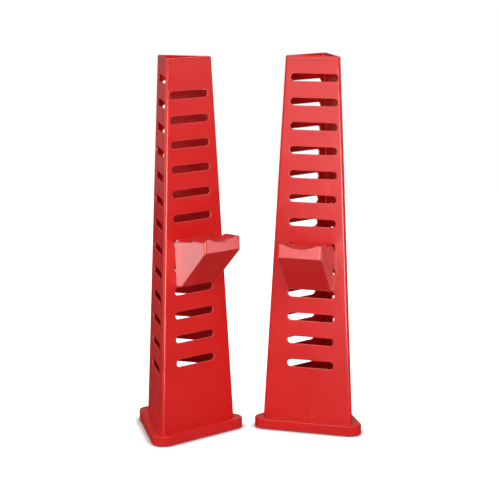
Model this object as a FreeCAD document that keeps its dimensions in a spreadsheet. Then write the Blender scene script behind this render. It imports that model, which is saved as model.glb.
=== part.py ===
"""A pair of free-standing slotted stands, each with a lift-off cradle.

Each stand is a hollow three-sided tower on a triangular base.  Every face has a
column of level slots at one pitch, and the three columns are staggered, so that a
cradle can be hung at any small step of height.  A cradle is a hollow wedge with a
dipped top and a sloping tongue, which drops through a slot and hooks behind the wall.

Frame: millimetres, +Z up, origin at the centre of the footprint on the floor.
"""
import FreeCAD, Part
import math
import os
import Sketcher
from FreeCAD import Placement, Rotation, Vector

os.makedirs("parts", exist_ok=True)
doc = FreeCAD.newDocument("slotted_stands")

# ---------------------------------------------------------------- dimensions
DIMS = {
    # tower
    "fullheight": 1000.0,      # floor to rim
    "lowside": 255.6,          # sharp side of the tower where it meets the base
    "topside": 155.9,          # sharp side at the rim
    "towercorner": 6.5,        # radius down the upright corners
    "wall": 4.0,
    # rim collar
    "rimheight": 13.0,
    "plugdepth": 12.0,
    "plugwall": 3.0,
    "plugclear": 0.4,
    "plugclip": 8.0,           # cut off the tips of the plug and of its mouth
    "seam": 1.2,               # bevel round the collar's lower edge
    "rimround": 4.0,
    # base
    "basetop": 28.8,
    "footgap": 2.0,            # skirt is this far off the floor
    "baseside": 338.0,
    "basecorner": 30.2,
    "baseround": 4.0,
    "baseskirt": 5.0,
    "deck": 5.0,
    "riblength": 34.0,
    "ribspread": 52.0,
    "ribwidth": 3.0,
    "ribheight": 18.0,
    "ribclear": 1.2,
    "postradius": 19.0,
    # feet
    "footradius": 17.0,
    "footheight": 4.0,
    # base screws
    "screwcircle": 63.0,
    "bossradius": 9.0,
    "bossheight": 35.0,
    "pilotradius": 3.05,
    "pilotdepth": 30.0,
    "shankradius": 3.0,
    "shanklength": 30.0,
    "clearradius": 3.3,
    "headradius": 6.0,
    "headheight": 5.0,
    "driveradius": 2.2,
    "drivedepth": 2.8,
    # slots
    "slotlength": 128.2,
    "slotheight": 20.3,
    "slotpitch": 63.5,
    "frontrow": 944.6,         # top slot of each column, floor to slot middle
    "rightrow": 906.4,
    "leftrow": 922.6,
    "frontshift": 6.5,         # columns stand off the middle of their faces
    "rightshift": -6.8,
    "leftshift": 2.4,
    "frontcount": 13.0,
    "rightcount": 12.0,
    "leftcount": 13.0,
    # cradle, measured out from the face (out) and up from the slot's middle (up)
    "cradlewidth": 121.0,
    "cradlegap": 0.4,
    "lipout": 121.0,
    "lipfoot": -13.5,
    "earup": 21.5,
    "earout": 76.0,
    "stepout": 70.0,
    "stepup": 10.0,
    "rearup": 3.4,
    "toeout": 20.0,
    "toeup": -111.0,
    "cradlewall": 3.5,
    "cradlecorner": 7.0,
    "earcorner": 11.0,         # round on the outer top corner of each ear
    "sidetaper": 2.2,          # each side draws in by this much towards the toe
    "saddleradius": 92.0,
    "saddledepth": 11.5,
    "webwidth": 3.0,
    "webspread": 26.0,
    "tonguewidth": 106.0,
    "tonguerise": 15.1,         # upright thickness of the sloping tongue
    "tonguein": 16.0,
    "tonguelift": 0.7,         # clear of the slot's lower edge
    "ridgeout": 3.0,           # flat top of the tongue, outside the wall
    "tongueroot": 14.0,
    # placing of the pair
    "leftx": -180.35,
    "lefty": -17.15,
    "leftturn": -79.4,
    "leftlevel": 6.0,          # slots counted down from the top one to the cradle
    "rightx": 179.35,
    "righty": 37.75,
    "rightturn": -18.8,
    "rightlevel": 7.0,
}

sheet = doc.addObject("Spreadsheet::Sheet", "dims")
for row, (alias, number) in enumerate(DIMS.items(), start=1):
    sheet.set(f"A{row}", alias)
    sheet.set(f"B{row}", str(number))
    sheet.setAlias(f"B{row}", alias)
doc.recompute()


def dim(alias):
    """A driving dimension read back from the sheet."""
    return float(sheet.get(alias))


ROOT3 = math.sqrt(3.0)
RISE = dim("fullheight") - dim("basetop")
LEAN = math.degrees(math.atan((dim("lowside") - dim("topside")) / (2 * ROOT3 * RISE)))
LEAN_EXPR = ("atan((dims.lowside - dims.topside)"
             " / (2 * sqrt(3) * (dims.fullheight - dims.basetop)))")


# ---------------------------------------------------------------- helpers
def new_body(name):
    """A body whose label is the name of its node."""
    body = doc.addObject("PartDesign::Body", name)
    body.Label = name
    return body


def new_sketch(body, name, plane="XY_Plane", height=None):
    """A sketch on one of the body's own origin planes, raised by an expression."""
    sketch = body.newObject("Sketcher::SketchObject", name)
    support = [f for f in body.Origin.OriginFeatures if f.Role == plane][0]
    sketch.AttachmentSupport = [(support, "")]
    sketch.MapMode = "FlatFace"
    if height:
        sketch.setExpression("AttachmentOffset.Base.z", height)
    return sketch


def bind(sketch, kind, refs, expression, start):
    """Add a dimension to a sketch and drive it from the sheet."""
    index = sketch.addConstraint(Sketcher.Constraint(kind, *refs, start))
    sketch.setExpression(f"Constraints[{index}]", expression)


def polygon(sketch, corners):
    """A closed outline whose corners are pairs of expressions from the origin."""
    points = [Vector(value(ex), value(ey), 0) for ex, ey in corners]
    first = sketch.GeometryCount
    count = len(points)
    for i in range(count):
        sketch.addGeometry(Part.LineSegment(points[i], points[(i + 1) % count]), False)
    for i in range(count):
        sketch.addConstraint(Sketcher.Constraint(
            "Coincident", first + i, 2, first + (i + 1) % count, 1))
    for i, (ex, ey) in enumerate(corners):
        bind(sketch, "DistanceX", (-1, 1, first + i, 1), ex, points[i].x)
        bind(sketch, "DistanceY", (-1, 1, first + i, 1), ey, points[i].y)


def value(expression):
    """The number an expression has now."""
    return float(sheet.evalExpression(expression))


def triangle(sketch, side):
    """A sharp equilateral triangle about the origin, flat side towards -Y."""
    inside = f"({side}) / (2 * sqrt(3))"
    polygon(sketch, [(f"-({side}) / 2", f"-{inside}"),
                     (f"({side}) / 2", f"-{inside}"),
                     ("0", f"2 * {inside}")])


def clipped_triangle(sketch, side, clip):
    """An equilateral triangle with its three tips cut off, flat side towards -Y."""
    inside = f"({side}) / (2 * sqrt(3))"
    rise = f"({clip}) * sqrt(3) / 2"
    polygon(sketch, [(f"({clip}) - ({side}) / 2", f"-{inside}"),
                     (f"({side}) / 2 - ({clip})", f"-{inside}"),
                     (f"({side}) / 2 - ({clip}) / 2", f"{rise} - {inside}"),
                     (f"({clip}) / 2", f"2 * {inside} - {rise}"),
                     (f"-({clip}) / 2", f"2 * {inside} - {rise}"),
                     (f"({clip}) / 2 - ({side}) / 2", f"{rise} - {inside}")])


def rounded_triangle(sketch, side, radius):
    """An equilateral triangle with rounded tips, flat side towards -Y."""
    reach = f"(({side}) / sqrt(3) - 2 * ({radius}))"
    size = value(radius)
    ends = []
    for turn in (90, 210, 330):
        x, y = value(f"{reach} * cos({turn} deg)"), value(f"{reach} * sin({turn} deg)")
        middle = math.radians(turn)
        round_tip = Part.Circle(Vector(x, y, 0), Vector(0, 0, 1), size)
        sketch.addGeometry(Part.ArcOfCircle(
            round_tip, middle - math.pi / 3, middle + math.pi / 3), False)
        ends.append([Vector(x + size * math.cos(middle + side_turn),
                            y + size * math.sin(middle + side_turn), 0)
                     for side_turn in (-math.pi / 3, math.pi / 3)])
    for i in range(3):
        sketch.addGeometry(Part.LineSegment(ends[i][1], ends[(i + 1) % 3][0]), False)
    for i, turn in enumerate((90, 210, 330)):
        sketch.addConstraint([Sketcher.Constraint("Tangent", i, 2, 3 + i, 1),
                              Sketcher.Constraint("Tangent", 3 + i, 2, (i + 1) % 3, 1)])
        x, y = f"{reach} * cos({turn} deg)", f"{reach} * sin({turn} deg)"
        bind(sketch, "Radius", (i,), radius, size)
        bind(sketch, "DistanceX", (-1, 1, i, 3), x, value(x))
        bind(sketch, "DistanceY", (-1, 1, i, 3), y, value(y))


def circle(sketch, x_expr, y_expr, radius):
    """A circle whose centre and radius are expressions."""
    centre = Vector(value(x_expr), value(y_expr), 0)
    index = sketch.addGeometry(
        Part.Circle(centre, Vector(0, 0, 1), value(radius)), False)
    bind(sketch, "DistanceX", (-1, 1, index, 3), x_expr, centre.x)
    bind(sketch, "DistanceY", (-1, 1, index, 3), y_expr, centre.y)
    bind(sketch, "Radius", (index,), radius, value(radius))


def feature(body, kind, name, profile=None, **settings):
    """A feature of the body; text settings are expressions, the rest are values."""
    item = body.newObject(f"PartDesign::{kind}", name)
    if profile is not None:
        item.Profile = profile
        profile.Visibility = False
    for key, setting in settings.items():
        if isinstance(setting, str) and key not in ("Type", "SideType"):
            item.setExpression(key, setting)
        else:
            setattr(item, key, setting)
    doc.recompute()
    return item


def edges_where(shape, test):
    """Names of the edges whose two ends and middle pass a test."""
    names = []
    for number, edge in enumerate(shape.Edges, start=1):
        middle = edge.valueAt((edge.FirstParameter + edge.LastParameter) / 2)
        ends = [vertex.Point for vertex in edge.Vertexes]
        if len(ends) == 2 and test(ends[0], ends[1], middle):
            names.append(f"Edge{number}")
    return names


def faces_where(shape, test):
    """Names of the faces whose centre and normal pass a test."""
    names = []
    for number, face in enumerate(shape.Faces, start=1):
        if test(face.CenterOfMass, face.normalAt(0, 0)):
            names.append(f"Face{number}")
    return names


def dress(body, kind, name, previous, parts, **settings):
    """A fillet, chamfer, draft or shell laid on named edges or faces."""
    item = body.newObject(f"PartDesign::{kind}", name)
    item.Base = (previous, parts)
    for key, setting in settings.items():
        if isinstance(setting, str):
            item.setExpression(key, setting)
        else:
            setattr(item, key, setting)
    doc.recompute()
    return item


def three_ways(body, name, original):
    """Repeat a feature about the upright axis, once for each face."""
    pattern = body.newObject("PartDesign::PolarPattern", name)
    pattern.Originals = [original]
    axis = [f for f in body.Origin.OriginFeatures if f.Role == "Z_Axis"][0]
    pattern.Axis = (axis, [""])
    pattern.Angle = 360.0
    pattern.Occurrences = 3
    body.Tip = pattern
    doc.recompute()
    return pattern


def upright(a, b, middle):
    """True for an edge that climbs more than it spreads."""
    return abs(a.z - b.z) > 3 * math.hypot(a.x - b.x, a.y - b.y)


def tapered_prism(body, name, side, low, high):
    """A three-sided prism with the tower's lean and rounded corners."""
    outline = new_sketch(body, f"{name}_outline", height=low)
    triangle(outline, side)
    solid = feature(body, "Pad", f"{name}_prism", outline, Length=f"{high} - ({low})")
    sides = faces_where(solid.Shape, lambda c, n: abs(n.z) < 0.5)
    floor = faces_where(solid.Shape, lambda c, n: n.z < -0.5)
    draft = dress(body, "Draft", f"{name}_lean", solid, sides,
                  NeutralPlane=(solid, floor), Angle=LEAN_EXPR, Reversed=False)
    if draft.Shape.Volume > solid.Shape.Volume:
        draft.Reversed = True
        doc.recompute()
    corners = edges_where(draft.Shape, upright)
    return dress(body, "Fillet", f"{name}_corners", draft, corners,
                 Radius="dims.towercorner")


def side_at(height):
    """Expression for the tower's sharp side at a height given as an expression."""
    return ("dims.lowside - (dims.lowside - dims.topside)"
            f" * (({height}) - dims.basetop) / (dims.fullheight - dims.basetop)")


FACES = {"front": 0.0, "right": 120.0, "left": 240.0}


def wall_frame(face):
    """Placement on a face's outer plane: x across, y up the wall, z outwards."""
    reach = value(side_at("0")) / (2 * ROOT3)
    lean = Placement(Vector(0, -reach, 0), Rotation(Vector(1, 0, 0), 90 - LEAN))
    return Placement(Vector(), Rotation(Vector(0, 0, 1), FACES[face])).multiply(lean)


def slot_column(body, face):
    """Cut one face's slots: the lowest is drawn and repeated up the wall."""
    outside = Placement(Vector(0, 0, 3.0), Rotation())
    sketch = new_sketch(body, f"{body.Name}_{face}_slot")
    sketch.AttachmentOffset = wall_frame(face).multiply(outside)
    middle = (f"(dims.{face}row - (dims.{face}count - 1) * dims.slotpitch)"
              f" / cos({LEAN_EXPR})")
    half = "(dims.slotlength - dims.slotheight) / 2"
    x0, y0 = value(f"dims.{face}shift"), value(middle)
    reach, radius = value(half), value("dims.slotheight / 2")
    up = Vector(0, 0, 1)
    sketch.addGeometry([
        Part.LineSegment(Vector(x0 - reach, y0 + radius, 0),
                         Vector(x0 + reach, y0 + radius, 0)),
        Part.ArcOfCircle(Part.Circle(Vector(x0 + reach, y0, 0), up, radius),
                         -math.pi / 2, math.pi / 2),
        Part.LineSegment(Vector(x0 + reach, y0 - radius, 0),
                         Vector(x0 - reach, y0 - radius, 0)),
        Part.ArcOfCircle(Part.Circle(Vector(x0 - reach, y0, 0), up, radius),
                         math.pi / 2, 3 * math.pi / 2)], False)
    sketch.addConstraint([
        Sketcher.Constraint("Tangent", 0, 2, 1, 2),
        Sketcher.Constraint("Tangent", 1, 1, 2, 1),
        Sketcher.Constraint("Tangent", 2, 2, 3, 2),
        Sketcher.Constraint("Tangent", 3, 1, 0, 1),
        Sketcher.Constraint("Horizontal", 0)])
    bind(sketch, "Radius", (1,), "dims.slotheight / 2", radius)
    bind(sketch, "DistanceX", (-1, 1, 1, 3), f"dims.{face}shift + {half}", x0 + reach)
    bind(sketch, "DistanceX", (-1, 1, 3, 3), f"dims.{face}shift - {half}", x0 - reach)
    bind(sketch, "DistanceY", (-1, 1, 1, 3), middle, y0)
    before = body.Tip.Shape.Volume
    pocket = feature(body, "Pocket", f"{body.Name}_{face}_cut", sketch,
                     Length="dims.wall + 6")
    assert pocket.Shape.Volume < before - 5000
    column = body.newObject("PartDesign::LinearPattern", f"{body.Name}_{face}_column")
    column.Originals = [pocket]
    column.Direction = (sketch, ["V_Axis"])
    column.setExpression("Length", f"(dims.{face}count - 1) * dims.slotpitch")
    column.setExpression("Occurrences", f"dims.{face}count")
    body.Tip = column
    doc.recompute()
    assert column.Shape.Volume < before - 5000 * dim(f"{face}count")


# ---------------------------------------------------------------- tower
def make_tower(name):
    """The hollow leaning-sided shell with its three columns of slots."""
    body = new_body(name)
    top = "dims.fullheight - dims.rimheight"
    solid = tapered_prism(body, name, "dims.lowside", "dims.basetop", top)
    ends = faces_where(solid.Shape, lambda c, n: abs(n.z) > 0.9)
    shell = dress(body, "Thickness", f"{name}_shell", solid, ends, Value="dims.wall",
                  Reversed=True, Mode=0, Join=1)
    assert shell.Shape.Volume < 0.4 * solid.Shape.Volume
    boss = new_sketch(body, f"{name}_boss", height="dims.basetop")
    circle(boss, "0", "-dims.screwcircle", "dims.bossradius")
    pad = feature(body, "Pad", f"{name}_boss_pad", boss, Length="dims.bossheight")
    three_ways(body, f"{name}_bosses", pad)
    pilot = new_sketch(body, f"{name}_pilot", height="dims.basetop")
    circle(pilot, "0", "-dims.screwcircle", "dims.pilotradius")
    hole = feature(body, "Pocket", f"{name}_pilot_cut", pilot,
                   Length="dims.pilotdepth", Reversed=True)
    three_ways(body, f"{name}_pilots", hole)
    for face in FACES:
        slot_column(body, face)
    return body


# ---------------------------------------------------------------- rim collar
def make_rim(name):
    """The collar that finishes the tower's open top and plugs into it."""
    body = new_body(name)
    low = "dims.fullheight - dims.rimheight"
    solid = tapered_prism(body, name, side_at(low), low, "dims.fullheight")
    rim_edges = edges_where(solid.Shape, lambda a, b, m: not upright(a, b, m)
                            and m.z > dim("fullheight") - 0.01)
    rounded = dress(body, "Fillet", f"{name}_round", solid, rim_edges,
                    Radius="dims.rimround")
    foot = value(low)
    seam_edges = edges_where(rounded.Shape, lambda a, b, m: not upright(a, b, m)
                             and m.z < foot + 0.01)
    dress(body, "Chamfer", f"{name}_seam", rounded, seam_edges, Size="dims.seam")
    plug_side = f"{side_at(low)} - 2 * sqrt(3) * (dims.wall + dims.plugclear)"
    plug = new_sketch(body, f"{name}_plug", height=low)
    clipped_triangle(plug, plug_side, "dims.plugclip")
    feature(body, "Pad", f"{name}_plug_pad", plug, Length="dims.plugdepth",
            Reversed=True)
    mouth = new_sketch(body, f"{name}_mouth", height="dims.fullheight + 1")
    clipped_triangle(mouth, f"{plug_side} - 2 * sqrt(3) * dims.plugwall",
                     "dims.plugclip - 2")
    before = body.Tip.Shape.Volume
    cut = feature(body, "Pocket", f"{name}_mouth_cut", mouth,
                  Length="dims.rimheight + dims.plugdepth + 3")
    assert cut.Shape.Volume < 0.5 * before
    return body


# ---------------------------------------------------------------- base
def make_base(name):
    """The triangular tray that the tower stands on."""
    body = new_body(name)
    outline = new_sketch(body, f"{name}_outline", height="dims.footgap")
    triangle(outline, "dims.baseside")
    plate = feature(body, "Pad", f"{name}_plate", outline,
                    Length="dims.basetop - dims.footgap")
    corners = edges_where(plate.Shape, upright)
    plate = dress(body, "Fillet", f"{name}_corners", plate, corners,
                  Radius="dims.basecorner")
    brow = edges_where(plate.Shape, lambda a, b, m: min(a.z, b.z) > dim("basetop") - 0.1)
    plate = dress(body, "Fillet", f"{name}_brow", plate, brow, Radius="dims.baseround")
    hollow = new_sketch(body, f"{name}_hollow", height="dims.footgap")
    rounded_triangle(hollow, "dims.baseside - 2 * sqrt(3) * dims.baseskirt",
                     "dims.basecorner - dims.baseskirt")
    cut = feature(body, "Pocket", f"{name}_hollow_cut", hollow, Reversed=True,
                  Length="dims.basetop - dims.footgap - dims.deck")
    assert cut.Shape.Volume < 0.6 * plate.Shape.Volume
    post = new_sketch(body, f"{name}_post", height="dims.footheight")
    circle(post, "0", "dims.baseside / sqrt(3) - 2 * dims.basecorner",
           "dims.postradius")
    post_pad = feature(body, "Pad", f"{name}_post_pad", post,
                       Length="dims.basetop - dims.footheight - dims.deck / 2")
    three_ways(body, f"{name}_posts", post_pad)
    rib = new_sketch(body, f"{name}_rib", height="dims.basetop")
    reach = "(dims.lowside / (2 * sqrt(3)) - dims.wall - dims.ribclear)"
    for sign in ("", "-"):
        inner_x = f"{sign}(dims.ribspread - dims.riblength / 2)"
        outer_x = f"{sign}(dims.ribspread + dims.riblength / 2)"
        polygon(rib, [(inner_x, f"-{reach}"), (outer_x, f"-{reach}"),
                      (outer_x, f"-{reach} + dims.ribwidth"),
                      (inner_x, f"-{reach} + dims.ribwidth")])
    rib_pad = feature(body, "Pad", f"{name}_rib_pad", rib, Length="dims.ribheight")
    three_ways(body, f"{name}_ribs", rib_pad)
    clear = new_sketch(body, f"{name}_clear", height="dims.basetop")
    circle(clear, "0", "-dims.screwcircle", "dims.clearradius")
    hole = feature(body, "Pocket", f"{name}_clear_cut", clear, Length="dims.deck + 1")
    three_ways(body, f"{name}_clears", hole)
    return body


# ---------------------------------------------------------------- feet and screws
def make_feet(name):
    """Three rubber discs, one under each corner of the base."""
    body = new_body(name)
    outline = new_sketch(body, f"{name}_outline")
    for turn in (90, 210, 330):
        reach = "(dims.baseside / sqrt(3) - 2 * dims.basecorner)"
        circle(outline, f"{reach} * cos({turn} deg)", f"{reach} * sin({turn} deg)",
               "dims.footradius")
    feature(body, "Pad", f"{name}_pad", outline, Length="dims.footheight")
    return body


def make_screws(name):
    """Three pan-head screws that hold the tower down from under the deck."""
    body = new_body(name)
    under = "dims.basetop - dims.deck"
    spots = [(f"dims.screwcircle * cos({turn} deg)", f"dims.screwcircle * sin({turn} deg)")
             for turn in (-90, 30, 150)]
    head = new_sketch(body, f"{name}_head", height=under)
    shank = new_sketch(body, f"{name}_shank", height=under)
    drive = new_sketch(body, f"{name}_drive", height=f"{under} - dims.headheight")
    for x_expr, y_expr in spots:
        circle(head, x_expr, y_expr, "dims.headradius")
        circle(shank, x_expr, y_expr, "dims.shankradius")
        circle(drive, x_expr, y_expr, "dims.driveradius")
    feature(body, "Pad", f"{name}_head_pad", head, Length="dims.headheight",
            Reversed=True)
    feature(body, "Pad", f"{name}_shank_pad", shank, Length="dims.shanklength")
    before = body.Tip.Shape.Volume
    cut = feature(body, "Pocket", f"{name}_drive_cut", drive, Length="dims.drivedepth",
                  Reversed=True)
    assert cut.Shape.Volume < before - 50
    return body


# ---------------------------------------------------------------- cradle
def trim_sides(body, name):
    """Cut both sides of the wedge to a rounded ear above and a slight taper below."""
    sketch = new_sketch(body, f"{name}_trim", "XZ_Plane")
    edge, size = "dims.cradlewidth / 2", "dims.earcorner"
    x_expr, y_expr = f"{edge} - {size}", f"dims.earup - {size}"
    x, y, radius = value(x_expr), value(y_expr), value(size)
    ear = Part.Circle(Vector(x, y, 0), Vector(0, 0, 1), radius)
    sketch.addGeometry(Part.ArcOfCircle(ear, 0, math.pi / 2), False)
    corners = [(x_expr, "dims.earup + 5"), (f"{edge} + 5", "dims.earup + 5"),
               (f"{edge} + 5", "dims.toeup - 5"),
               (f"{edge} - dims.sidetaper", "dims.toeup - 5")]
    points = [Vector(x, y + radius, 0)]
    points += [Vector(value(ex), value(ey), 0) for ex, ey in corners]
    points.append(Vector(x + radius, y, 0))
    for i in range(5):
        sketch.addGeometry(Part.LineSegment(points[i], points[i + 1]), False)
        sketch.addConstraint(Sketcher.Constraint("Coincident", i, 2, i + 1, 1))
    sketch.addConstraint(Sketcher.Constraint("Coincident", 5, 2, 0, 1))
    bind(sketch, "Radius", (0,), size, radius)
    bind(sketch, "DistanceX", (-1, 1, 0, 3), x_expr, x)
    bind(sketch, "DistanceY", (-1, 1, 0, 3), y_expr, y)
    bind(sketch, "DistanceX", (-1, 1, 0, 2), x_expr, x)
    bind(sketch, "DistanceY", (-1, 1, 0, 1), y_expr, y)
    for i, (ex, ey) in enumerate(corners, start=2):
        bind(sketch, "DistanceX", (-1, 1, i, 1), ex, value(ex))
        bind(sketch, "DistanceY", (-1, 1, i, 1), ey, value(ey))
    before = body.Tip.Shape.Volume
    cut = feature(body, "Pocket", f"{name}_trim_cut", sketch, Length=600.0, Midplane=True)
    both = body.newObject("PartDesign::Mirrored", f"{name}_trims")
    both.Originals = [cut]
    middle = [f for f in body.Origin.OriginFeatures if f.Role == "YZ_Plane"][0]
    both.MirrorPlane = (middle, [""])
    body.Tip = both
    doc.recompute()
    assert both.Shape.Volume < cut.Shape.Volume - 1000 < before - 2000
    return both


def make_cradle(name):
    """The hollow wedge, drawn on its slot: x across, y outwards, z up the wall.

    Every outline is drawn in the plane of its side view, out from the wall and up.
    """
    body = new_body(name)
    out = "dims.cradlegap"
    side = new_sketch(body, f"{name}_side", "YZ_Plane")
    polygon(side, [(out, "dims.rearup"), (out, "dims.toeup"),
                   ("dims.toeout", "dims.toeup"), ("dims.lipout", "dims.lipfoot"),
                   ("dims.lipout", "dims.earup"), ("dims.earout", "dims.earup"),
                   ("dims.stepout", "dims.stepup")])
    wedge = feature(body, "Pad", f"{name}_wedge", side, Length="dims.cradlewidth",
                    Midplane=True)
    dip = new_sketch(body, f"{name}_dip", "XZ_Plane")
    circle(dip, "0", "dims.earup - dims.saddledepth + dims.saddleradius",
           "dims.saddleradius")
    before = wedge.Shape.Volume
    feature(body, "Pocket", f"{name}_dip_cut", dip, Length=600.0, Midplane=True)
    assert body.Tip.Shape.Volume < before - 5000
    front = edges_where(body.Tip.Shape, lambda a, b, m: upright(a, b, m)
                        and m.y > dim("lipout") - 1)
    dress(body, "Fillet", f"{name}_corners", body.Tip, front, Radius="dims.cradlecorner")
    trimmed = trim_sides(body, name)
    hollow = new_sketch(body, f"{name}_hollow", "YZ_Plane")
    skin = "dims.cradlewall"
    polygon(hollow, [("-5", f"dims.rearup - {skin}"), ("-5", f"dims.toeup + {skin}"),
                     (f"dims.toeout - {skin} / 2", f"dims.toeup + {skin}"),
                     (f"dims.lipout - {skin}", f"dims.lipfoot + {skin} / 2"),
                     (f"dims.lipout - {skin}",
                      f"dims.earup - dims.saddledepth - {skin}"),
                     ("dims.stepout", f"dims.stepup - {skin}")])
    feature(body, "Pocket", f"{name}_hollow_cut", hollow, Midplane=True,
            Length="dims.cradlewidth - 2 * dims.cradlewall - 2 * dims.sidetaper")
    assert body.Tip.Shape.Volume < 0.5 * trimmed.Shape.Volume
    for tag, sign in (("a", "-"), ("b", "")):
        web = new_sketch(body, f"{name}_web_{tag}", "YZ_Plane",
                         f"{sign}dims.webspread")
        polygon(web, [("dims.tongueroot / 2", f"dims.rearup - {skin} / 2"),
                      ("3 + dims.cradlegap", "dims.toeup + 1"),
                      (f"dims.toeout - {skin} / 2", "dims.toeup + 1"),
                      (f"dims.lipout - {skin} / 2", "dims.lipfoot + 1"),
                      (f"dims.lipout - {skin} / 2",
                       f"dims.earup - dims.saddledepth - {skin} / 2"),
                      ("dims.stepout", f"dims.stepup - {skin} / 2")])
        feature(body, "Pad", f"{name}_web_{tag}_pad", web, Length="dims.webwidth")
    tongue = new_sketch(body, f"{name}_tongue", "YZ_Plane")
    low = "(dims.tonguelift - dims.slotheight / 2 + dims.wall)"
    polygon(tongue, [("dims.cradlegap", f"{low} + dims.cradlegap"),
                     ("-dims.tonguein", f"{low} - dims.tonguein"),
                     ("-dims.tonguein", f"{low} - dims.tonguein + dims.tonguerise"),
                     ("dims.cradlegap", f"{low} + dims.tonguerise + dims.cradlegap"),
                     ("dims.ridgeout", f"{low} + dims.tonguerise + dims.cradlegap"),
                     ("dims.tongueroot", "dims.rearup"),
                     ("dims.tongueroot", f"{low} + dims.cradlegap")])
    feature(body, "Pad", f"{name}_tongue_pad", tongue, Length="dims.tonguewidth",
            Midplane=True)
    return body


# ---------------------------------------------------------------- assembly
def stand_place(tag):
    """Where a stand's upright axis meets the floor, and which way it faces."""
    turn = Rotation(Vector(0, 0, 1), dim(f"{tag}turn"))
    return Placement(Vector(dim(f"{tag}x"), dim(f"{tag}y"), 0), turn)


def cradle_place(tag, face):
    """A cradle hung on one slot of one face of a stand."""
    up = dim(f"{face}row") - dim(f"{tag}level") * dim("slotpitch")
    across = Placement(Vector(dim(f"{face}shift"), up / math.cos(math.radians(LEAN)), 0),
                       Rotation(Vector(1, 0, 0), -90))
    turned = Rotation(Vector(0, 0, 1), 180)
    return stand_place(tag).multiply(wall_frame(face)).multiply(across).multiply(
        Placement(Vector(), turned))


nodes = []
for tag, face in (("left", "right"), ("right", "front")):
    place = stand_place(tag)
    for make, part in ((make_tower, "tower"), (make_rim, "rim"), (make_base, "base"),
                       (make_feet, "feet"), (make_screws, "screws")):
        body = make(f"{tag}_{part}")
        body.Placement = place
        nodes.append(body)
    cradle = make_cradle(f"{tag}_cradle")
    cradle.Placement = cradle_place(tag, face)
    nodes.append(cradle)
doc.recompute()

for item in doc.Objects:
    bad = [state for state in item.State if state in ("Invalid", "Error")]
    assert not bad, f"{item.Name}: {bad}"
for node in nodes:
    shape = node.Shape
    assert not shape.isNull() and shape.isValid(), node.Label
    box = shape.BoundBox
    print(f"{node.Label}: {len(shape.Solids)} solids, {shape.Volume / 1000:.1f} cm3,"
          f" x {box.XMin:.1f}..{box.XMax:.1f}, y {box.YMin:.1f}..{box.YMax:.1f},"
          f" z {box.ZMin:.1f}..{box.ZMax:.1f}")
    shape.exportStep(f"parts/{node.Label}.step")
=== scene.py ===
"""Two slotted plastic stands with hook-on cradles, on a pale studio floor."""
import math

import bpy
from mathutils import Euler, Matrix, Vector

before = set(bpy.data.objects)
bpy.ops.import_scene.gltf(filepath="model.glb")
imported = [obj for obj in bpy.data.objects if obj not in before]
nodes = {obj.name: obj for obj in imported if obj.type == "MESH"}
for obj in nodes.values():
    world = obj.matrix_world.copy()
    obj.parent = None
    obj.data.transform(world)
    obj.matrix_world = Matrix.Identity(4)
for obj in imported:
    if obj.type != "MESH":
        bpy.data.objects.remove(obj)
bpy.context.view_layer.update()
scene = bpy.context.scene

BEVEL_SAMPLES = 6
# Edge turn that starts and completes the pale painted highlight along edges, and how
# much of that colour the edges take.
EDGE_HIGHLIGHT_FROM, EDGE_HIGHLIGHT_FULL = 0.02, 0.25
EDGE_HIGHLIGHT_SHARE = 0.6
GRAIN_SHARE = 0.06
SCUFF_STRETCH = (60.0, 60.0, 9.0)
SCUFF_TURN = (0.5, 0.3, 0.0)
SCUFF_SCALE = 3.0
SCUFF_FROM, SCUFF_FULL = 0.56, 0.74
SCUFF_SHARE = 0.03
GLOSS_SPREAD = 0.10
SKIN_STRENGTH = 0.35
PLASTIC_IOR = 1.47

FLOOR_REACH = 4.0
FLOOR_LEVEL = -0.0003
FLOOR_WHITE = (0.88, 0.88, 0.88)
FLOOR_IN_SHEEN = (0.10, 0.10, 0.10)
# Reach, samples and levels of the painted contact shadow on the floor.
SHADE_REACH = 0.05
SHADE_SAMPLES = 12
SHADE_DARK, SHADE_CLEAR = 0.55, 0.97
SKY_FILL = 0.20
SKY_SHEEN = 0.16


# ------------------------------------------------------------------ node helpers
def node(tree, kind, **settings):
    """A node with its plain properties set."""
    made = tree.nodes.new(kind)
    for key, value in settings.items():
        setattr(made, key, value)
    return made


def feed(tree, value, socket):
    """Join an input to an output socket, or set it to a number or a colour."""
    if isinstance(value, (int, float)):
        socket.default_value = value
    elif isinstance(value, tuple):
        socket.default_value = value + (1.0,)
    else:
        tree.links.new(value, socket)


def maths(tree, operation, first, second):
    """A Math node whose two operands are sockets or numbers."""
    made = node(tree, "ShaderNodeMath", operation=operation)
    feed(tree, first, made.inputs[0])
    feed(tree, second, made.inputs[1])
    return made.outputs[0]


def remap(tree, value, low, high, out_low=0.0, out_high=1.0, ease="LINEAR"):
    """A value carried from one range to another and held inside it."""
    made = node(tree, "ShaderNodeMapRange", clamp=True, interpolation_type=ease)
    for label, number in (("From Min", low), ("From Max", high),
                          ("To Min", out_low), ("To Max", out_high)):
        made.inputs[label].default_value = number
    feed(tree, value, made.inputs["Value"])
    return made.outputs["Result"]


def noise(tree, place, scale, detail, roughness=0.5):
    """Smooth three-dimensional noise at a scale that is a number or a socket."""
    made = node(tree, "ShaderNodeTexNoise")
    feed(tree, place, made.inputs["Vector"])
    feed(tree, scale, made.inputs["Scale"])
    feed(tree, detail, made.inputs["Detail"])
    feed(tree, roughness, made.inputs["Roughness"])
    return made.outputs["Fac"]


def blend_colour(tree, share, low, high):
    """Two colours mixed by a share between nought and one."""
    mix = node(tree, "ShaderNodeMix", data_type="RGBA")
    feed(tree, share, mix.inputs["Factor"])
    colours = {s.name: s for s in mix.inputs if s.type == "RGBA"}
    feed(tree, low, colours["A"])
    feed(tree, high, colours["B"])
    return [s for s in mix.outputs if s.type == "RGBA"][0]


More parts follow.
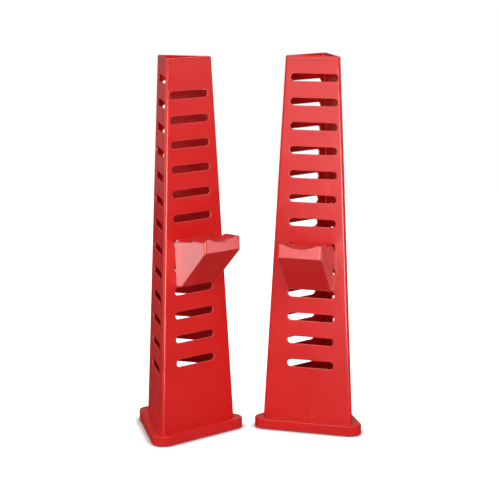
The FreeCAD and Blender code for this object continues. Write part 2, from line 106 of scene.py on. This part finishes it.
def bump(tree, height, distance, strength=1.0):
    """A Bump node fed with a height; it is returned for its sockets."""
    made = node(tree, "ShaderNodeBump")
    feed(tree, strength, made.inputs["Strength"])
    feed(tree, distance, made.inputs["Distance"])
    feed(tree, height, made.inputs["Height"])
    return made


# ------------------------------------------------------------------ node groups
def new_group(name, inputs, outputs):
    """A shader node group with named sockets; returns it with its two ends."""
    group = bpy.data.node_groups.new(name, "ShaderNodeTree")
    for label, start in inputs:
        socket = group.interface.new_socket(label, in_out="INPUT",
                                            socket_type="NodeSocketFloat")
        socket.default_value = start
    for label, kind in outputs:
        group.interface.new_socket(label, in_out="OUTPUT", socket_type=kind)
    given = group.nodes.new("NodeGroupInput").outputs
    result = group.nodes.new("NodeGroupOutput").inputs
    return group, given, result


def soft_edge_group():
    """Edges painted pale as a painted highlight: how far the surface turns within a
    small reach.
    """
    group, given, result = new_group(
        "soft edge", [("Reach", 0.002)],
        [("Edge highlight", "NodeSocketFloat"), ("Normal", "NodeSocketVector")])
    bevel = node(group, "ShaderNodeBevel", samples=BEVEL_SAMPLES)
    feed(group, given["Reach"], bevel.inputs["Radius"])
    flat = node(group, "ShaderNodeNewGeometry")
    dot = node(group, "ShaderNodeVectorMath", operation="DOT_PRODUCT")
    feed(group, bevel.outputs["Normal"], dot.inputs[0])
    feed(group, flat.outputs["Normal"], dot.inputs[1])
    turned = maths(group, "SUBTRACT", 1.0, dot.outputs["Value"])
    feed(group, remap(group, turned, EDGE_HIGHLIGHT_FROM, EDGE_HIGHLIGHT_FULL), result["Edge highlight"])
    feed(group, bevel.outputs["Normal"], result["Normal"])
    return group


def moulded_skin_group():
    """Moulded plastic: faint flow mottling, fine pebble, slow waves and scuffs."""
    group, given, result = new_group(
        "moulded skin",
        [("Mottle scale", 9.0), ("Grain scale", 900.0), ("Wave scale", 14.0),
         ("Wave share", 0.5)],
        [("Mottle", "NodeSocketFloat"), ("Relief", "NodeSocketFloat"),
         ("Scuff", "NodeSocketFloat")])
    place = node(group, "ShaderNodeTexCoord").outputs["Object"]
    mottle = noise(group, place, given["Mottle scale"], 4.0)
    grain = noise(group, place, given["Grain scale"], 2.0)
    wave = noise(group, place, given["Wave scale"], 1.0)
    relief = maths(group, "ADD", maths(group, "MULTIPLY", grain, GRAIN_SHARE),
                   maths(group, "MULTIPLY", wave, given["Wave share"]))
    stretched = node(group, "ShaderNodeMapping")
    stretched.inputs["Scale"].default_value = SCUFF_STRETCH
    stretched.inputs["Rotation"].default_value = SCUFF_TURN
    feed(group, place, stretched.inputs["Vector"])
    streak = noise(group, stretched.outputs["Vector"], SCUFF_SCALE, 6.0, 0.65)
    feed(group, mottle, result["Mottle"])
    feed(group, relief, result["Relief"])
    feed(group, remap(group, streak, SCUFF_FROM, SCUFF_FULL), result["Scuff"])
    return group


SOFT_EDGE = soft_edge_group()
MOULDED_SKIN = moulded_skin_group()


def group_node(tree, group, **values):
    """A group placed in a material with its own input values."""
    placed = node(tree, "ShaderNodeGroup", node_tree=group)
    for label, value in values.items():
        feed(tree, value, placed.inputs[label.replace("_", " ")])
    return placed.outputs


# ------------------------------------------------------------------ materials
def new_material(name):
    """A material, its node tree and the inputs of its Principled shader."""
    material = bpy.data.materials.new(name)
    material.use_nodes = True
    tree = material.node_tree
    return material, tree, tree.nodes["Principled BSDF"].inputs


def moulded_plastic(name, deep, bright, highlight_colour, gloss, relief, wave, edge_reach):
    """Solid-coloured moulded plastic with mottling, pebble, scuffs and a pale painted
    highlight along the edges.
    """
    material, tree, shader = new_material(name)
    skin = group_node(tree, MOULDED_SKIN, Wave_share=wave)
    edge = group_node(tree, SOFT_EDGE, Reach=edge_reach)
    body = blend_colour(tree, skin["Mottle"], deep, bright)
    # The edges are mixed towards a pale colour: a painted highlight.
    highlight_mix = maths(tree, "MULTIPLY", edge["Edge highlight"], EDGE_HIGHLIGHT_SHARE)
    feed(tree, blend_colour(tree, highlight_mix, body, highlight_colour), shader["Base Color"])
    rough = remap(tree, skin["Mottle"], 0.0, 1.0, gloss, gloss + GLOSS_SPREAD)
    scuffed = maths(tree, "ADD", rough,
                    maths(tree, "MULTIPLY", skin["Scuff"], SCUFF_SHARE))
    feed(tree, scuffed, shader["Roughness"])
    raised = bump(tree, skin["Relief"], relief, SKIN_STRENGTH)
    feed(tree, edge["Normal"], raised.inputs["Normal"])
    feed(tree, raised.outputs["Normal"], shader["Normal"])
    feed(tree, PLASTIC_IOR, shader["IOR"])
    return material


def foot_rubber():
    """Black rubber, matt, with a dusting of grey."""
    material, tree, shader = new_material("black rubber")
    skin = group_node(tree, MOULDED_SKIN, Mottle_scale=40.0, Grain_scale=1500.0,
                      Wave_share=0.1)
    feed(tree, blend_colour(tree, skin["Mottle"], (0.012, 0.012, 0.013),
                            (0.05, 0.05, 0.052)), shader["Base Color"])
    feed(tree, bump(tree, skin["Relief"], 0.0004).outputs["Normal"], shader["Normal"])
    feed(tree, 0.75, shader["Roughness"])
    return material


def zinc_steel():
    """Zinc-plated steel with a cloudy spangle."""
    material, tree, shader = new_material("zinc plated steel")
    skin = group_node(tree, MOULDED_SKIN, Mottle_scale=220.0, Grain_scale=2500.0,
                      Wave_share=0.1)
    feed(tree, blend_colour(tree, skin["Mottle"], (0.42, 0.42, 0.43),
                            (0.66, 0.66, 0.65)), shader["Base Color"])
    feed(tree, 1.0, shader["Metallic"])
    feed(tree, remap(tree, skin["Mottle"], 0.0, 1.0, 0.28, 0.46), shader["Roughness"])
    return material


# Each finish's highlight colour is a pale painted highlight laid along its edges.
FINISHES = {
    "tower": moulded_plastic(
        "tower red plastic", deep=(0.64, 0.010, 0.009), bright=(0.77, 0.016, 0.013),
        highlight_colour=(0.93, 0.42, 0.38), gloss=0.20, relief=0.0030, wave=0.9,
        edge_reach=0.0028),
    "rim": moulded_plastic(
        "rim red plastic", deep=(0.65, 0.010, 0.009), bright=(0.77, 0.016, 0.013),
        highlight_colour=(0.90, 0.32, 0.28), gloss=0.20, relief=0.0006, wave=0.5,
        edge_reach=0.0028),
    "base": moulded_plastic(
        "base red plastic", deep=(0.62, 0.010, 0.009), bright=(0.74, 0.015, 0.013),
        highlight_colour=(0.95, 0.50, 0.46), gloss=0.26, relief=0.0010, wave=0.7,
        edge_reach=0.0030),
    "cradle": moulded_plastic(
        "cradle red plastic", deep=(0.60, 0.016, 0.014), bright=(0.74, 0.024, 0.020),
        highlight_colour=(0.95, 0.55, 0.52), gloss=0.28, relief=0.0012, wave=0.6,
        edge_reach=0.0026),
    "feet": foot_rubber(),
    "screws": zinc_steel(),
}


def kind_of(name):
    """What a piece is, from its name without the side."""
    return name.split("_")[1]


for label, piece in nodes.items():
    for slot in piece.material_slots:
        slot.material = FINISHES[kind_of(label)]


# ------------------------------------------------------------------ studio
def floor_paper():
    """White paper, glowing to over-exposed white away from the stands, with a painted
    contact shadow near them, and dull in reflections.
    """
    material, tree, shader = new_material("pale floor")
    path = node(tree, "ShaderNodeLightPath").outputs
    feed(tree, blend_colour(tree, path["Is Glossy Ray"], FLOOR_WHITE, FLOOR_IN_SHEEN),
         shader["Base Color"])
    # How hemmed in the floor is sets a painted contact shadow on its glow.
    open_air = node(tree, "ShaderNodeAmbientOcclusion", samples=SHADE_SAMPLES)
    feed(tree, SHADE_REACH, open_air.inputs["Distance"])
    glow_with_painted_shadow = remap(tree, open_air.outputs["AO"], SHADE_DARK, SHADE_CLEAR,
                 ease="SMOOTHSTEP")
    seen = maths(tree, "MULTIPLY", glow_with_painted_shadow, path["Is Camera Ray"])
    feed(tree, blend_colour(tree, seen, (0.0, 0.0, 0.0), (1.0, 1.0, 1.0)),
         shader["Emission Color"])
    feed(tree, 1.0, shader["Emission Strength"])
    feed(tree, 0.9, shader["Roughness"])
    feed(tree, 0.0, shader["Specular IOR Level"])
    return material


def floor_sheet():
    """A wide level square just under the stands."""
    mesh = bpy.data.meshes.new("floor")
    corners = [(x * FLOOR_REACH, y * FLOOR_REACH, FLOOR_LEVEL)
               for x, y in ((-1, -1), (1, -1), (1, 1), (-1, 1))]
    mesh.from_pydata(corners, [], [(0, 1, 2, 3)])
    mesh.materials.append(floor_paper())
    sheet = bpy.data.objects.new("floor", mesh)
    scene.collection.objects.link(sheet)
    return sheet


floor_sheet()


def gather(name, kinds):
    """A collection of the pieces of the given kinds, for a light to shine on."""
    group = bpy.data.collections.new(name)
    for label, piece in nodes.items():
        if kind_of(label) in kinds:
            group.objects.link(piece)
    return group


def soft_box(name, spot, aim, size, power, only=None, shine=False):
    """A soft light facing a point, on every piece or on a few, or only as a sheen."""
    light = bpy.data.lights.new(name, "AREA")
    light.shape = "RECTANGLE"
    light.size, light.size_y = size
    light.energy = power
    lamp = bpy.data.objects.new(name, light)
    lamp.location = spot
    away = Vector(spot) - Vector(aim)
    tilt = math.atan2(math.hypot(away.x, away.y), away.z)
    turn = math.atan2(away.x, -away.y)
    lamp.rotation_euler = Euler((tilt, 0.0, turn), "XYZ")
    lamp.visible_camera = False
    lamp.visible_diffuse = not shine
    scene.collection.objects.link(lamp)
    if only:
        lamp.light_linking.receiver_collection = only
        lamp.light_linking.blocker_collection = only


cradles = gather("cradles", ("cradle",))
others = gather("all but the cradles", ("tower", "rim", "base", "feet", "screws"))
uprights = gather("towers and cradles", ("tower", "rim", "cradle"))

soft_box("low left", (-1.95, 0.1, 0.56), (0, 0.05, 0.56), (1.2, 1.05), 9, others)
soft_box("front left", (-1.8, -2.9, 0.85), (0.2, 0, 0.7), (1.0, 0.8), 7)
soft_box("low right", (3.2, -0.6, 1.0), (0, 0, 0.8), (1.0, 0.7), 2.5)
soft_box("left key", (-1.3, -3.0, 2.7), (0, 0, 0.4), (1.8, 1.8), 60)
soft_box("right key", (1.8, -2.8, 2.7), (0, 0, 0.4), (1.8, 1.8), 66)
soft_box("rear fill", (0.3, 3.0, 2.6), (0, 0, 0.5), (1.8, 1.2), 18)
soft_box("front strip", (-0.05, -1.4, 0.45), (-0.05, 0, 0.45), (0.5, 0.85), 26,
         uprights, shine=True)
soft_box("cradle side", (-1.6, 0.05, 0.24), (-0.1, -0.1, 0.5), (1.3, 0.9), 19.5,
         cradles, shine=True)
soft_box("cradle front", (-0.95, -1.6, 0.28), (0.12, -0.1, 0.5), (0.8, 0.45), 8.5,
         cradles, shine=True)
soft_box("cradle right", (1.3, -0.4, 0.28), (-0.06, -0.15, 0.5), (0.7, 0.5), 6,
         cradles, shine=True)

world = bpy.data.worlds.new("studio")
scene.world = world
world.use_nodes = True
sky = world.node_tree
paper = sky.nodes["Background"].inputs
feed(sky, (1.0, 1.0, 1.0), paper["Color"])
path = node(sky, "ShaderNodeLightPath").outputs
fill = maths(sky, "ADD", maths(sky, "MULTIPLY", path["Is Diffuse Ray"], SKY_FILL),
             maths(sky, "MULTIPLY", path["Is Glossy Ray"], SKY_SHEEN))
feed(sky, maths(sky, "ADD", path["Is Camera Ray"], fill), paper["Strength"])

# ------------------------------------------------------------------ camera
lens = bpy.data.cameras.new("camera")
lens.sensor_width = 36.0
lens.lens = 122.6
lens.dof.use_dof = False
camera = bpy.data.objects.new("camera", lens)
camera.location = (-0.0791, -4.4270, 1.3406)
camera.rotation_euler = Euler((math.radians(90 - 10.904), 0.0, math.radians(-1.068)),
                              "XYZ")
scene.collection.objects.link(camera)
scene.camera = camera
scene.view_settings.view_transform = "Standard"
